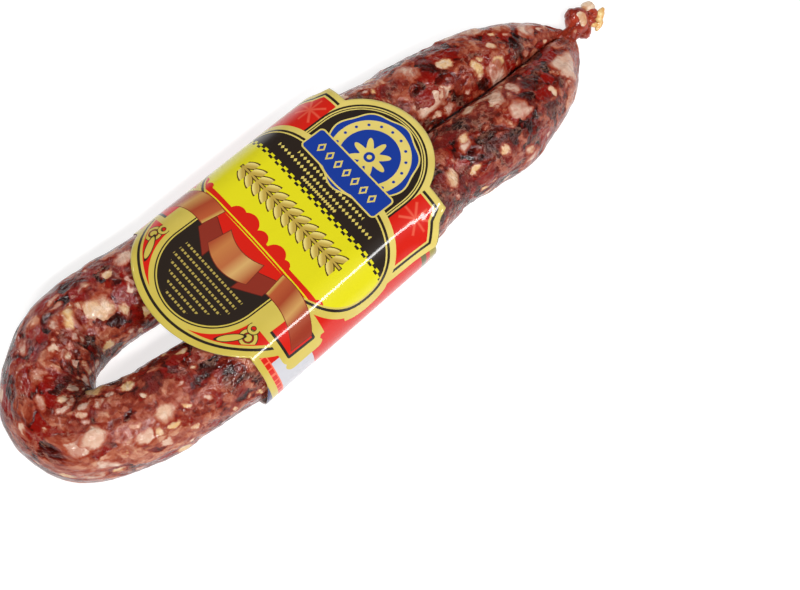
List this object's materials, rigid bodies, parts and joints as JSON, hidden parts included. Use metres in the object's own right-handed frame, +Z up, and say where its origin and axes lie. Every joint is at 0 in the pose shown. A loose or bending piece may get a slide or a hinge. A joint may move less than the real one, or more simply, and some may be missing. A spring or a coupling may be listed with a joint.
{
  "type": "cured sausage",
  "caption": "Looped dry-cured sausage in a thin casing, tied at the neck and held by a die-cut printed paper band.",
  "frame": {"origin": "on the surface the sausage lies on, under the middle of its outline", "axes": "+X along the loop from the bend to the tied knot, +Y across the two arms, +Z up"},
  "size_m": [0.2658, 0.0784, 0.0322],
  "materials": {
    "cured_meat_casing": "glossy thin natural casing over coarse mottled meat and fat",
    "knotted_casing": "dried translucent casing, semi-gloss",
    "printed_paper": "gloss-coated printed paper, plain grey-white inside"
  },
  "bodies": {
    "root": {"sausage": "cured_meat_casing", "casing_knot": "knotted_casing", "paper_label": "printed_paper"}
  },
  "joints": []
}
